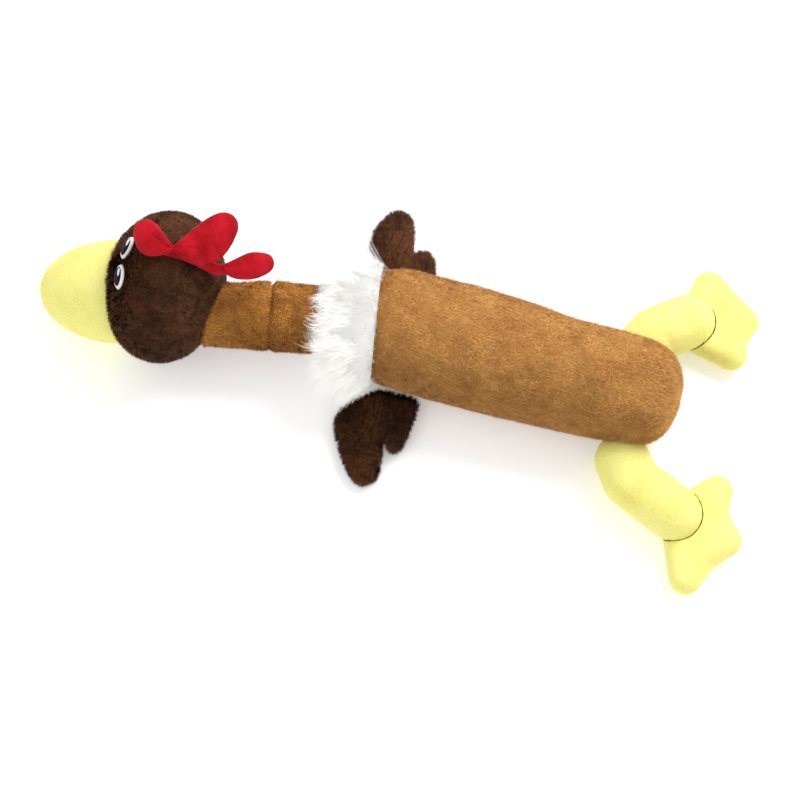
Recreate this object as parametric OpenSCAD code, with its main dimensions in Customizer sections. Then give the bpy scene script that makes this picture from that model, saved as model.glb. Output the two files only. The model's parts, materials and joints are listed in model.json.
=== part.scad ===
// Stuffed plush chicken toy, lying on its belly with the neck stretched forward.
// Frame: +Z up, the head towards -X, the feet towards +X, the chicken's left side towards -Y.
// The origin is near the middle of the flat patch under the belly, on the surface the toy lies on.
// Every cover is a fabric shell, pile included, with its fibre filling as a separate solid inside.
// A limb turns about the centre of its own round end, so its running gap is the same at every angle.

/* [Body] */
// Length of the body from the collar seam to the rear end
body_len = 240; // [200:1:280]
// Radius of the body at the neck end
body_r_front = 48.5; // [40:0.1:50]
// How far the middle of the body bulges beyond a straight taper
body_bulge = 2.2; // [0:0.1:8]
// Radius of the body where its rear end starts to round off
body_r_rear = 44.5; // [36:0.1:50]
// Height of the body's axis: below the radius, so the belly is flattened
body_axis_z = 44; // [40:0.5:47]
// Length of the rounded rear end
body_cap_len = 46; // [30:1:60]
// How far the neck end of the body lies to the right of the middle
body_swing = 8.5; // [-10:0.5:12]

/* [Neck] */
// Radius of the neck tube
neck_r = 29; // [22:0.5:32]
// Radius of its round end inside the head
neck_head_r = 26.8; // [22:0.1:32]
// Level length of the rear and front neck tube, between the places they turn about
neck_reach = [101.5, 44]; // [40:1:110]
// How much higher the head end of each tube lies than its body end
neck_rise = [3, 3]; // [0:1:10]
// Angle each tube lies towards the left side, from straight ahead
neck_turn = [7.4, 14]; // [-15:0.1:15]

/* [Head] */
// Half length of the head along the neck
head_half_len = 47; // [40:0.5:56]
// Radius of the head seen from the front
head_r = 60.5; // [50:0.5:66]
// Height of the head's centre: below its radius, so it rests on a flat patch
head_z = 58; // [48:0.5:64]
// Distance from the head's pivot forward to its centre, and to its right
head_ahead = 41; // [30:1:44]
head_aside = 11.5; // [-15:1:15]

/* [Beak] */
// Radius of the beak at its root
beak_r = 41.5; // [30:0.5:42]
// Length of the beak beyond the face
beak_len = 65; // [45:1:75]
// Angle the beak droops below level
beak_droop = 6; // [0:1:15]
// Angle the beak turns towards the left side
beak_turn = 9; // [-10:1:12]

/* [Wings] */
// Thickness of a stuffed wing
wing_thick = 17; // [12:0.5:20]

/* [Legs and feet] */
// Radius of the leg tube
leg_r = 22.2; // [16:0.1:23]
// Length of the left and right shin
shin_len = [41.5, 28]; // [24:1:50]
// Radius of a toe
toe_r = 13; // [10:0.5:15]

/* [Fabric] */
// Thickness of plush with its pile
plush_t = 4; // [3:0.1:5]
// Thickness of short-pile velboa on the beak, legs and feet
velboa_t = 2.5; // [1.5:0.1:3.5]
// Thickness of the smooth comb fabric
satin_t = 1.5; // [1:0.1:2.5]
// Room between a cover and the filling inside it
fill_gap = 0.25; // [0.1:0.05:0.4]
// Running gap between pieces that move on each other
run_gap = 0.4; // [0.3:0.05:0.8]

/* [Squeaker] */
// Outer radius of the squeaker
squeaker_r = 21; // [15:0.5:24]
// Height of the squeaker at rest
squeaker_h = 30; // [20:1:34]
// Travel of its cap when squeezed
squeaker_travel = 10; // [4:1:12]

/* [Hidden] */
$fn = 64;
LEFT = -1;
RIGHT = 1;
lay_z = 0;                                 // level of the surface under the toy
big = 900;                                 // larger than the toy

// Passages where the filling runs on from one cover into the next
throat_r = 16;
neck_passage_r = 12;
face_passage_r = 20;
comb_passage_r = 2.5;
hip_passage_r = 12;
ankle_passage_r = 6;

// Body: a dome towards the neck, a slightly bulging barrel and a rounded rear end
body_front_x = -body_len / 2;
neck_x = body_front_x + 16;                // pivot of the neck, the centre of the front dome
cap_x = body_len / 2 - body_cap_len;       // where the rear end starts to round off
body_turn = asin(body_swing / (cap_x - neck_x));
neck_pivot = [cap_x - (cap_x - neck_x) * cos(body_turn), body_swing, body_axis_z];
rear_square = 2.6;                         // how square the rear end is: 2 would be an ellipse

// Neck
function neck_step(i) = [-neck_reach[i] * cos(neck_turn[i]), -neck_reach[i] * sin(neck_turn[i]),
                         neck_rise[i]];
neck_seam = neck_pivot + neck_step(0);
head_pivot = neck_seam + neck_step(1);
neck_len = [norm(neck_step(0)), norm(neck_step(1))];
bend_flare = 24;                           // half angle of the room a cup leaves for bending
cone_step = 0.05;                          // keeps that cone clear of the sphere it would touch
collar_rim = 70;                           // angle of the collar's edge from the neck's axis
collar_t = 1.5;                            // backing cloth of the fur collar
collar_fur_t = 4.5;                        // depth of the fur where it is pressed flat
collar_reach = 62;                         // how far the fur reaches along the neck

// Head and beak
head_c = [head_pivot.x - head_ahead, head_pivot.y + head_aside, head_z];
beak_root = head_c + [-36, -6.5, -16];
beak_tuck = 20;                            // length of the beak's root inside the face
face_at = 4;                               // how far the face stands in front of the root plane

// Eyes: three flat ovals on each side of the ridge, just above the beak
eye_half_w = 10;
eye_half_h = 6.2;
eye_apart = 11.5;                          // from the middle of the face
eye_middle = -4.6;                         // middle of the face, from the head's centre
eye_ahead = 25;                            // in front of the head's centre
eye_layers = [[1.0, 0.2, 1.2], [0.82, 1.5, 0.7], [0.3, 2.3, 0.5]]; // size, offset, thickness

// Comb: three stuffed lobes on the ridge that flop to the right. Each is the hull of balls,
// given as [x, y, z, radius], that start at its root on the ridge and run round its outline.
comb_lobes = [
    [[-280, 3.5, 126, 5.2], [-291, -1, 127.5, 7.5], [-297, 1, 129, 8], [-301.5, 12, 131, 8.5],
     [-295, 14, 132, 8.5]],
    [[-272, 5, 125.5, 5.2], [-257, 5, 121, 6.5], [-245, 9, 114.5, 6], [-239, 31, 122, 8.7],
     [-245.5, 35, 125, 8.7], [-257, 25, 127, 7]],
    [[-236, 4.5, 107, 5.2], [-226, 3, 106, 7.5], [-210, 12.5, 104, 8], [-209.5, 18, 105, 8],
     [-221, 15.5, 107, 7.5]]
];

// Wings: places round the two lobes of each wing as [ahead of the hinge's middle, out from it]
wing_r = wing_thick / 2;
wing_small_r = wing_r - 0.7;
wing_hinge_x = neck_x + 6.5;
wing_hinge_z = wing_r + lay_z;
wing_gap_r = body_r_front + wing_r + 3.4;  // hinge line to body axis, clear of the bulging barrel
wing_hinge_y = sqrt(pow(wing_gap_r, 2) - pow(body_axis_z - wing_hinge_z, 2));
wing_big = [
    [[12, 0], [38.5, 21], [28, 43], [14.5, 64], [4, 60], [10, 36]],
    [[14, 0], [30, 14], [45, 27], [35.5, 53], [25, 50], [24, 35]]
];
wing_small = [
    [[10, 0], [-12, 0], [-11, 22], [-7.5, 35.5], [-2, 23]],
    [[10, 0], [-4, 0], [1, 24.5], [8, 24]]
];

// Legs: hip, knee and ankle centres, all at the height of the leg's radius
hip_x = [86, 84.5];
hip_y = [50.5, 44.5];
thigh_len = [16.6, 14];
thigh_turn = [57, 60];                     // from straight back to straight out, seen from above
shin_turn = [26, 35];
hip_in_range = 8;                          // how far a leg can turn inwards under the body
hip_flare = hip_in_range / 2 + 0.5;        // half angle of the hollow that leaves it that room
thigh_step = 0.2;                          // how far that hollow widens where its cone starts
knee_step = 0.8;                           // how much slimmer the thigh is where it meets the knee

function side_i(s) = s == LEFT ? 0 : 1;
function out_dir(angle, s) = [cos(angle), s * sin(angle), 0];
function hip(s) = [hip_x[side_i(s)], s * hip_y[side_i(s)], leg_r + lay_z];
function knee(s) = hip(s) + thigh_len[side_i(s)] * out_dir(thigh_turn[side_i(s)], s);
function ankle(s) = knee(s) + shin_len[side_i(s)] * out_dir(shin_turn[side_i(s)], s);

// Feet: places as [distance from the ankle, angle outwards from straight back], for the tips of
// the inner, middle and outer toe, the two webs between them and the two sides of the heel
foot_turn = [12, 16];                      // direction of the ankle's passage into the foot
toes = [
    [[41, -42], [45, 13], [50, 68]],
    [[43, -22], [46, 16], [39, 72]]
];
webs = [
    [[31, -16], [38, 44]],
    [[37, -6], [37, 44]]
];
heels = [
    [[16, -38], [16, 62]],
    [[16, -34], [16, 66]]
];
cuff_run = 4;                              // how fast the filling draws back from the ankle's edge

// Squeaker
squeaker_at = [-15, 5, body_axis_z];
squeaker_plate = 3;
squeaker_room = 3;
reed_r = 4;
reed_len = 9;

// ---------- shared shapes ----------

// Everything at least this high above the surface that the toy lies on
module above(level) {
    translate([-big / 2, -big / 2, lay_z + level]) cube([big, big, big / 2]);
}

// Turns children that point along +Z to point from one place towards another
module aim(from, to) {
    d = to - from;
    translate(from)
        rotate([0, acos(d.z / norm(d)), atan2(d.y, d.x)])
            children();
}

// A tube from one place to another with round ends of radius r0 and r1
module capsule(from, to, r0, r1) {
    aim(from, to)
        rotate_extrude()
            polygon(concat(
                [for (a = [0:7.5:90]) [r0 * sin(a), -r0 * cos(a)]],
                [for (a = [0:7.5:90]) [r1 * cos(a), norm(to - from) + r1 * sin(a)]]
            ));
}

// Places children on the axis of the rear or front neck tube, pointing forward along it
module at_neck_rear(distance = 0) {
    aim(neck_pivot, neck_seam) translate([0, 0, distance]) children();
}

module at_neck_front(distance = 0) {
    aim(neck_seam, head_pivot) translate([0, 0, distance]) children();
}

// The room a round end of radius r needs in a cup. Its cone opens towards +Z for the limb to bend
// in, and starts just outside the circle where it would touch the sphere.
module cup_room(r, depth) {
    back = r * sin(bend_flare);
    sphere(r);
    translate([0, 0, -back])
        cylinder(h = back + depth, r1 = r * cos(bend_flare) + cone_step,
                 r2 = r / cos(bend_flare) + depth * tan(bend_flare) + cone_step);
}

// ---------- body ----------

function barrel_r(x) =
    let (s = (x - neck_x) / (cap_x - neck_x))
    body_r_front + (body_r_rear - body_r_front) * s + body_bulge * sin(180 * s);

function squared(v) = pow(v, 2 / rear_square);
function body_outline(inset) = concat(
    [for (a = [0:6:84]) [(body_r_front - inset) * sin(a), neck_x - (body_r_front - inset) * cos(a)]],
    [for (i = [0:12]) let (x = neck_x + (cap_x - neck_x) * i / 12) [barrel_r(x) - inset, x]],
    [for (a = [9:9:81]) [(body_r_rear - inset) * squared(cos(a)),
                         cap_x + (body_cap_len - inset) * squared(sin(a))]],
    [[0, cap_x + body_cap_len - inset]]
);

// The room a thigh needs: round at the hip, then widening for the leg to turn inwards
module thigh_room(r) {
    reach = 2 * leg_r;
    rotate_extrude()
        polygon(concat(
            [for (a = [0:10:80]) [r * sin(a), -r * cos(a)]],
            [[r + thigh_step, 0], [r + reach * tan(hip_flare), reach], [0, reach]]
        ));
}

module body_form(inset) {
    difference() {
        intersection() {
            translate([cap_x, 0, body_axis_z])
                rotate([0, 90, -body_turn])
                    translate([0, 0, -cap_x])
                        rotate_extrude() polygon(body_outline(inset));
            above(inset);
        }
        for (s = [LEFT, RIGHT])
            aim(hip(s), hip(s) + out_dir(thigh_turn[side_i(s)] - hip_in_range / 2, s))
                thigh_room(leg_r + run_gap + inset);
    }
}

module body_cover() {
    color("peru")
        difference() {
            body_form(0);
            body_form(plush_t);
            at_neck_rear() cylinder(h = body_r_front + 10, r = throat_r);
        }
}

module body_stuffing() {
    color("ivory")
        difference() {
            body_form(plush_t + fill_gap);
            translate(squeaker_at - [0, 0, squeaker_h / 2 + squeaker_room])
                cylinder(h = squeaker_h + 2 * squeaker_room, r = squeaker_r + squeaker_room);
        }
}

// ---------- squeaker ----------

module at_squeaker(level) {
    translate(squeaker_at + [0, 0, level - squeaker_h / 2]) children();
}

module squeaker_base() {
    color("white")
        at_squeaker(0)
            difference() {
                union() {
                    cylinder(h = squeaker_plate, r = squeaker_r);
                    cylinder(h = reed_len, r = reed_r + 2);
                }
                translate([0, 0, -1]) cylinder(h = reed_len + 2, r = reed_r + 0.05);
            }
}

module squeaker_reed() {
    color("gold")
        at_squeaker(0)
            difference() {
                cylinder(h = reed_len, r = reed_r);
                translate([0, 0, -1]) cylinder(h = reed_len, r = reed_r - 1.2);
                translate([-0.5, -reed_r, reed_len - 2]) cube([1, 2 * reed_r, 3]);
            }
}

bellows_folds = 4;
bellows_wall = 1.2;
bellows_h = squeaker_h - 2 * squeaker_plate - 0.2;
function bellows_side(shift) = [for (i = [0:2 * bellows_folds])
    [squeaker_r - 1.5 - shift - (i % 2) * 4, bellows_h * i / (2 * bellows_folds)]];

module squeaker_bellows() {
    inner = bellows_side(bellows_wall);
    color("white")
        at_squeaker(squeaker_plate + 0.1)
            rotate_extrude()
                polygon(concat(bellows_side(0), [for (i = [len(inner) - 1:-1:0]) inner[i]]));
}

module squeaker_cap() {
    color("white")
        at_squeaker(squeaker_h - squeaker_plate)
            cylinder(h = squeaker_plate, r = squeaker_r);
}

// ---------- collar and neck ----------

module collar_backing() {
    color("whitesmoke")
        intersection() {
            at_neck_rear()
                difference() {
                    sphere(body_r_front + run_gap + collar_t);
                    sphere(body_r_front + run_gap);
                    cylinder(h = big, r = neck_r + fill_gap);
                    translate([0, 0, -big]) cylinder(h = big + (body_r_front + 2) * cos(collar_rim), r = big);
                }
            above(0);
        }
}

function collar_outline() =
    let (r0 = body_r_front + run_gap + collar_t + 0.2, r1 = r0 + collar_fur_t, rim = r1 * cos(collar_rim))
    [[neck_r + fill_gap, rim], [r1 * sin(collar_rim), rim], [46, 0.5 * collar_reach],
     [38, 0.75 * collar_reach], [31, 0.93 * collar_reach], [neck_r + 2, collar_reach],
     [neck_r + fill_gap, collar_reach]];

module collar_fur() {
    color("white")
        intersection() {
            at_neck_rear()
                difference() {
                    rotate_extrude() polygon(collar_outline());
                    sphere(body_r_front + run_gap + collar_t + 0.2);
                }
            above(0);
        }
}

module neck_rear_form(inset) {
    difference() {
        at_neck_rear() cylinder(h = neck_len[0], r = neck_r - inset);
        at_neck_rear() sphere(body_r_front + run_gap + min(inset, 0.3));
        at_neck_front() cup_room(neck_r + run_gap, 2 * neck_r);
    }
}

module neck_rear_cover() {
    color("peru")
        difference() {
            neck_rear_form(0);
            at_neck_rear() cylinder(h = neck_len[0], r = neck_r - plush_t);
        }
}

module neck_rear_stuffing() {
    color("ivory") neck_rear_form(plush_t + fill_gap);
}

module neck_front_form(inset) {
    capsule(neck_seam, head_pivot, neck_r - inset, neck_head_r - inset);
}

module neck_front_cover() {
    color("peru")
        difference() {
            neck_front_form(0);
            neck_front_form(plush_t);
            at_neck_front(-neck_r - 1)
                cylinder(h = neck_len[1] + 2 * neck_r + 2, r = neck_passage_r);
        }
}

module neck_front_stuffing() {
    color("ivory") neck_front_form(plush_t + fill_gap);
}

// ---------- head ----------

function oval(half_len, r) =
    [for (a = [0:6:180]) [r * sin(a), -half_len * cos(a)]];

module at_beak(distance = 0) {
    translate(beak_root)
        rotate([0, -90 - beak_droop, beak_turn])
            translate([0, 0, distance])
                children();
}

module beak_form(inset) {
    at_beak()
        rotate_extrude()
            polygon(concat(
                [[0, -beak_tuck + inset], [beak_r - 2 - inset, -beak_tuck + inset]],
                [for (a = [0:6:90]) [(beak_r - inset) * cos(a), (beak_len - inset) * sin(a)]]
            ));
}

module head_form(inset) {
    difference() {
        intersection() {
            translate(head_c)
                rotate([0, 90, 0])
                    rotate_extrude() polygon(oval(head_half_len - inset, head_r - inset));
            above(inset);
            at_beak(face_at - inset - big) cylinder(h = big, r = big);
        }
        aim(head_pivot, neck_seam) cup_room(neck_head_r + run_gap + inset, 2 * neck_r);
        beak_form(-0.2 - inset);
    }
}

module head_cover() {
    color("saddlebrown")
        difference() {
            head_form(0);
            head_form(plush_t);
            at_beak(-beak_tuck - 10) cylinder(h = 20, r = face_passage_r);
        }
}

module head_stuffing() {
    color("ivory") head_form(plush_t + fill_gap);
}

module beak_cover() {
    color("khaki")
        difference() {
            beak_form(0);
            beak_form(velboa_t);
            at_beak(-beak_tuck - 1) cylinder(h = 10, r = face_passage_r);
        }
}

module beak_stuffing() {
    color("ivory") beak_form(velboa_t + fill_gap);
}

// ---------- comb ----------

module comb_form(inset) {
    for (lobe = comb_lobes)
        hull()
            for (ball = lobe)
                translate([ball[0], ball[1], ball[2]]) sphere(ball[3] - inset, $fn = 20);
}

module comb_cover() {
    color("crimson")
        difference() {
            comb_form(0);
            comb_form(satin_t);
            for (lobe = comb_lobes)
                translate([lobe[1][0], lobe[1][1], lobe[1][2] - lobe[1][3] - 1])
                    cylinder(h = lobe[1][3], r = comb_passage_r);
        }
}

module comb_stuffing() {
    color("ivory") comb_form(satin_t + fill_gap);
}

// ---------- eyes ----------

// The flat ovals lie on the head's surface: its normal there sets their direction
function eye_place(s) =
    let (y = eye_middle + s * eye_apart,
         k = sqrt(1 - pow(eye_ahead / head_half_len, 2) - pow(y / head_r, 2)))
    [-eye_ahead, y, head_r * k];
function eye_normal(s) =
    let (p = eye_place(s))
    [p.x / pow(head_half_len, 2), p.y / pow(head_r, 2), p.z / pow(head_r, 2)];

module eye_oval(s, layer) {
    n = eye_normal(s);
    size = eye_layers[layer][0];
    aim(head_c + eye_place(s), head_c + eye_place(s) + n)
        translate([0, 0, eye_layers[layer][1]])
            linear_extrude(eye_layers[layer][2])
                polygon([for (a = [0:12:348]) size * [eye_half_h * cos(a), eye_half_w * sin(a)]]);
}

module eye_white(s) { color("white") eye_oval(s, 0); }
module eye_pupil(s) { color("black") eye_oval(s, 1); }
module eye_glint(s) { color("white") eye_oval(s, 2); }

// ---------- wings ----------

function wing_place(p, s) = [wing_hinge_x - p[0], body_swing + s * (wing_hinge_y + p[1]), wing_hinge_z];

module wing_lobe(outline, s, r) {
    hull()
        for (p = outline[side_i(s)]) translate(wing_place(p, s)) sphere(r, $fn = 22);
}

module wing_form(s, inset) {
    wing_lobe(wing_big, s, wing_r - inset);
    wing_lobe(wing_small, s, wing_small_r - inset);
}

module wing_cover(s) {
    color("saddlebrown")
        difference() {
            wing_form(s, 0);
            wing_form(s, plush_t / 2);
            translate(wing_place([8, 0], s) - [0, wing_r, 1]) cube([10, 2 * wing_r, 2]);
        }
}

module wing_stuffing(s) {
    color("ivory") wing_form(s, plush_t / 2 + fill_gap);
}

// ---------- legs and feet ----------

// The thigh tapers a little, so that its end lies inside the shin's round end at the knee
module leg_form(s, inset) {
    capsule(hip(s), knee(s), leg_r - inset, leg_r - inset - knee_step);
    capsule(knee(s), ankle(s), leg_r - inset, leg_r - inset);
}

module leg_cover(s) {
    color("khaki")
        difference() {
            leg_form(s, 0);
            leg_form(s, velboa_t);
            aim(hip(s), hip(s) - out_dir(thigh_turn[side_i(s)], s))
                cylinder(h = leg_r + 2, r = hip_passage_r);
        }
}

module leg_stuffing(s) {
    color("ivory") leg_form(s, velboa_t + fill_gap);
}

// A ball of a foot: place is [distance from the ankle, angle outwards]
module foot_ball(place, s, inset) {
    c = ankle(s) + place[0] * out_dir(place[1], s);
    translate([c.x, c.y, toe_r + lay_z]) sphere(toe_r - inset, $fn = 20);
}

// A foot is three hulls: the middle toe with the whole palm, and the two toes beside it
module foot_form(s, inset) {
    socket = leg_r + run_gap + inset;
    toe = toes[side_i(s)];
    web = webs[side_i(s)];
    heel = heels[side_i(s)];
    difference() {
        for (places = [[toe[0], web[0], heel[0]], [toe[1], web[0], web[1], heel[0], heel[1]],
                       [toe[2], web[1], heel[1]]])
            hull()
                for (place = places) foot_ball(place, s, inset);
        aim(ankle(s), knee(s)) {
            cup_room(socket, 2 * leg_r);
            translate([0, 0, -cuff_run * inset]) cylinder(h = 2 * leg_r, r = 2 * leg_r);
        }
    }
}

module foot_cover(s) {
    color("khaki")
        difference() {
            foot_form(s, 0);
            foot_form(s, velboa_t);
            translate([0, 0, toe_r - leg_r])
                aim(ankle(s), ankle(s) + out_dir(foot_turn[side_i(s)], s))
                    cylinder(h = leg_r + 6, r = ankle_passage_r);
        }
}

module foot_stuffing(s) {
    color("ivory") foot_form(s, velboa_t + fill_gap);
}

// ---------- nodes ----------

body_cover();
body_stuffing();
squeaker_base();
squeaker_reed();
squeaker_bellows();
squeaker_cap();
collar_backing();
collar_fur();
neck_rear_cover();
neck_rear_stuffing();
neck_front_cover();
neck_front_stuffing();
head_cover();
head_stuffing();
beak_cover();
beak_stuffing();
comb_cover();
comb_stuffing();
eye_white(LEFT);  // left_eye_white
eye_pupil(LEFT);  // left_eye_pupil
eye_glint(LEFT);  // left_eye_glint
eye_white(RIGHT);  // right_eye_white
eye_pupil(RIGHT);  // right_eye_pupil
eye_glint(RIGHT);  // right_eye_glint
wing_cover(LEFT);  // left_wing_cover
wing_stuffing(LEFT);  // left_wing_stuffing
wing_cover(RIGHT);  // right_wing_cover
wing_stuffing(RIGHT);  // right_wing_stuffing
leg_cover(LEFT);  // left_leg_cover
leg_stuffing(LEFT);  // left_leg_stuffing
leg_cover(RIGHT);  // right_leg_cover
leg_stuffing(RIGHT);  // right_leg_stuffing
foot_cover(LEFT);  // left_foot_cover
foot_stuffing(LEFT);  // left_foot_stuffing
foot_cover(RIGHT);  // right_foot_cover
foot_stuffing(RIGHT);  // right_foot_stuffing
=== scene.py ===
"""Stuffed plush chicken toy: fabric, pile, seams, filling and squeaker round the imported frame."""

import json
import math

import bmesh
import bpy
import numpy as np
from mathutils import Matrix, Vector


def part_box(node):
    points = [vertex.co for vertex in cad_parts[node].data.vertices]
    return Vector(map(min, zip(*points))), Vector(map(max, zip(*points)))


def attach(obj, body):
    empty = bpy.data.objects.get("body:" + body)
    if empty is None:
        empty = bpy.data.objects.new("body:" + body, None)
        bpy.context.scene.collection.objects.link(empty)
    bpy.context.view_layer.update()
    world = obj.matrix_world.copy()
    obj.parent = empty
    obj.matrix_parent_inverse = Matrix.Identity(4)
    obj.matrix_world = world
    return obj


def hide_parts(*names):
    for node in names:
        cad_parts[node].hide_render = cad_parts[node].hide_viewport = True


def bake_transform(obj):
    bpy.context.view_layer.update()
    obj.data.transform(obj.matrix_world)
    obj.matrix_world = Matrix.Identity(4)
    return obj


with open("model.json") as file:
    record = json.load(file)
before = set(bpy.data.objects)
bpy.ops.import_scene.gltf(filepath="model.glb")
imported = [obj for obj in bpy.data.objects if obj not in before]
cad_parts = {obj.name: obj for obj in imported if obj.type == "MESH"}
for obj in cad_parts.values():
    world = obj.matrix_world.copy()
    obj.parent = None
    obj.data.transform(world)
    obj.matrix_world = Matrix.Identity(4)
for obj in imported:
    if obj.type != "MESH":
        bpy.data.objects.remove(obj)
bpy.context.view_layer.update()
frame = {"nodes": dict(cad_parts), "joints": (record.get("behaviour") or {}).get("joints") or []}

# ---------- units and places ----------
# Shapes are worked out in millimetres and become metres when their mesh is made.

MM = 0.001
LEFT, RIGHT = -1, 1
SIDES = {"left": LEFT, "right": RIGHT}
UP = np.array([0.0, 0.0, 1.0])


def box_mm(node):
    low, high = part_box(node)
    return np.array(low) / MM, np.array(high) / MM


def pivot_mm(joint):
    found = next(j for j in frame["joints"] if j["name"] == joint)
    return np.array(found["pos_m"], float) / MM


def unit(v):
    v = np.asarray(v, float)
    return v / np.maximum(np.linalg.norm(v, axis=-1, keepdims=True), 1e-9)


def turned(degrees, s):
    """The flat direction that lies that far outwards from straight back, on side s."""
    a = math.radians(degrees)
    return np.array([math.cos(a), s * math.sin(a), 0.0])


NECK_PIVOT = pivot_mm("neck_lift")
NECK_SEAM = pivot_mm("neck_bend")
HEAD_PIVOT = pivot_mm("head_nod")
REAR_AXIS = unit(NECK_SEAM - NECK_PIVOT)
FRONT_AXIS = unit(HEAD_PIVOT - NECK_SEAM)
SEAM_AT = float(np.linalg.norm(NECK_SEAM - NECK_PIVOT))
NECK_LEN = SEAM_AT + float(np.linalg.norm(HEAD_PIVOT - NECK_SEAM))

FLOOR_GAP = 0.25          # lowest place of any pile above the surface under the toy
PLUSH_REST = 1.6          # lowest place of the skins under their pile
COLLAR_REST = 1.2
BEAK_REST = 0.6
LEG_REST = 0.5            # of the legs and feet
PLUSH_PILE = 2.4          # from the woven back of the plush to the tips of its pile
VELBOA_PILE = 0.3

BODY_R_FRONT = 48.5
BODY_R_REAR = 44.5
BODY_BULGE = 2.2
BODY_CAP_LEN = 46.0
BODY_CAP_C = np.array([74.0, 0.0, NECK_PIVOT[2]])
BODY_AXIS = unit(BODY_CAP_C - NECK_PIVOT)
BARREL_LEN = float(np.linalg.norm(BODY_CAP_C - NECK_PIVOT))
REAR_SQUARE = 2.6         # how square the rear end is: 2 would be an ellipse
NECK_R = 29.0
NECK_HEAD_R = 26.8

HEAD_LOW, HEAD_HIGH = box_mm("head_cover")
HEAD_R = (HEAD_HIGH[1] - HEAD_LOW[1]) / 2
HEAD_AHEAD = 41           # from the head's pivot to its middle
HEAD_Z = 58.0
HEAD_C = np.array([HEAD_PIVOT[0] - HEAD_AHEAD, (HEAD_HIGH[1] + HEAD_LOW[1]) / 2, HEAD_Z])
HEAD_HALF_LEN = 47.0
HEAD_STEPS = 46           # rings of its skin

BEAK_ROOT = HEAD_C + [-36, -6.5, -16]
BEAK_R = 41.5
BEAK_LEN = 65.0
BEAK_TUCK = 12.0
BEAK_DROOP = math.radians(6)
BEAK_TURN = math.radians(9)
BEAK_AXIS = np.array([-math.cos(BEAK_DROOP) * math.cos(BEAK_TURN),
                      -math.cos(BEAK_DROOP) * math.sin(BEAK_TURN),
                      -math.sin(BEAK_DROOP)])

LEG_R = 22.2
HIP = {s: pivot_mm(f"{n}_hip") for n, s in SIDES.items()}
ANKLE = {s: pivot_mm(f"{n}_ankle") for n, s in SIDES.items()}
THIGH_LEN = {LEFT: 16.6, RIGHT: 14.0}
THIGH_TURN = {LEFT: 57, RIGHT: 60}
KNEE = {s: HIP[s] + THIGH_LEN[s] * turned(THIGH_TURN[s], s) for s in (LEFT, RIGHT)}
THIGH_ROOM = 40           # how far out from each hip the body keeps clear of the thigh
THIGH_ROOM_END = {s: HIP[s] + THIGH_ROOM * turned(THIGH_TURN[s], s) for s in (LEFT, RIGHT)}
SKIN_CLEAR = 0.7          # from a leg to the body's skin
PILE_CLEAR = 1.2          # and to the body's pile
CUP_CLEAR = 0.15          # from a leg to the cup in the foot that holds its end

# Feet: places as (distance from the ankle, angle outwards) for the tips of the inner, middle and
# outer toe, the webs between them and the two sides of the heel
TOE_R = 13.0
TOES = {LEFT: [(41, -42), (45, 13), (50, 68)], RIGHT: [(43, -22), (46, 16), (39, 72)]}
WEBS = {LEFT: [(31, -16), (38, 44)], RIGHT: [(37, -6), (37, 44)]}
HEELS = {LEFT: [(16, -38), (16, 62)], RIGHT: [(16, -34), (16, 66)]}

# Wings: places round each lobe as (ahead of the hinge's middle, out from it)
WING_R = 8.5
WING_HINGE = {s: pivot_mm(f"{n}_wing_flap") for n, s in SIDES.items()}
WING_BIG = {LEFT: [(12, 0), (38.5, 21), (28, 43), (14.5, 64), (4, 60), (10, 36)],
            RIGHT: [(14, 0), (30, 14), (45, 27), (35.5, 54), (24, 52), (24, 35)]}
WING_SMALL = {LEFT: [(12, 0), (-12, 0), (-11, 22), (-7.5, 35.5), (-2, 23)],
              RIGHT: [(14, 0), (-4, 0), (1, 24.5), (8, 24)]}

# Comb: balls as (x, y, z, radius) that start at each lobe's root and run round its outline
COMB_LOBES = {
    "front": [(-280, 3.5, 126, 5.2), (-291, -1, 127.5, 7.5), (-297, 1, 129, 8),
              (-301.5, 12, 131, 8.5), (-295, 14, 132, 8.5)],
    "middle": [(-272, 5, 125.5, 5.2), (-257, 5, 121, 6.5), (-245, 9, 114.5, 6),
               (-239, 31, 122, 8.7), (-245.5, 35, 125, 8.7), (-257, 25, 127, 7)],
    "rear": [(-236, 4.5, 107, 5.2), (-226, 3, 106, 7.5), (-210, 12.5, 104, 8),
             (-209.5, 18, 105, 8), (-221, 15.5, 107, 7.5)],
}

# The band that is sewn along the head and carries the lobes, as stretches between two balls
COMB_BAND = np.array([((-281, 3.5, 118.5, 4), (-280, 3.5, 126, 4.6)),
                      ((-281, 3.5, 118.5, 4), (-270, 4.5, 117.5, 4.6)),
                      ((-270, 4.5, 117.5, 4.6), (-258, 5, 110.5, 5)),
                      ((-258, 5, 110.5, 5), (-254, 6, 118, 5)),
                      ((-258, 5, 110.5, 5), (-247, 5, 98, 5)),
                      ((-247, 5, 98, 5), (-236, 4.5, 106, 4.6))])

# ---------- noise ----------


def hashed(cells, seed):
    """A repeatable number from 0 to 1 for each whole-numbered cell."""
    c = cells.astype(np.int64)
    h = c[..., 0] * 73856093 ^ c[..., 1] * 19349663 ^ c[..., 2] * 83492791 ^ (seed * 40503 + 97)
    h = (h ^ (h >> 13)) * 1274126177 & 0x7FFFFFFF
    h = (h ^ (h >> 15)) * 224682251 & 0x7FFFFFFF
    return ((h ^ (h >> 11)) & 0xFFFFFF) / 0xFFFFFF


def smooth_noise(points, size, seed):
    """Smooth noise from 0 to 1 with features about size across."""
    q = np.asarray(points) / size
    cell = np.floor(q)
    f = q - cell
    f = f * f * (3 - 2 * f)
    total = np.zeros(len(q))
    for corner in np.ndindex(2, 2, 2):
        near = abs(1 - np.array(corner) - f)
        total += near[:, 0] * near[:, 1] * near[:, 2] * hashed(cell + corner, seed)
    return total


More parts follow.
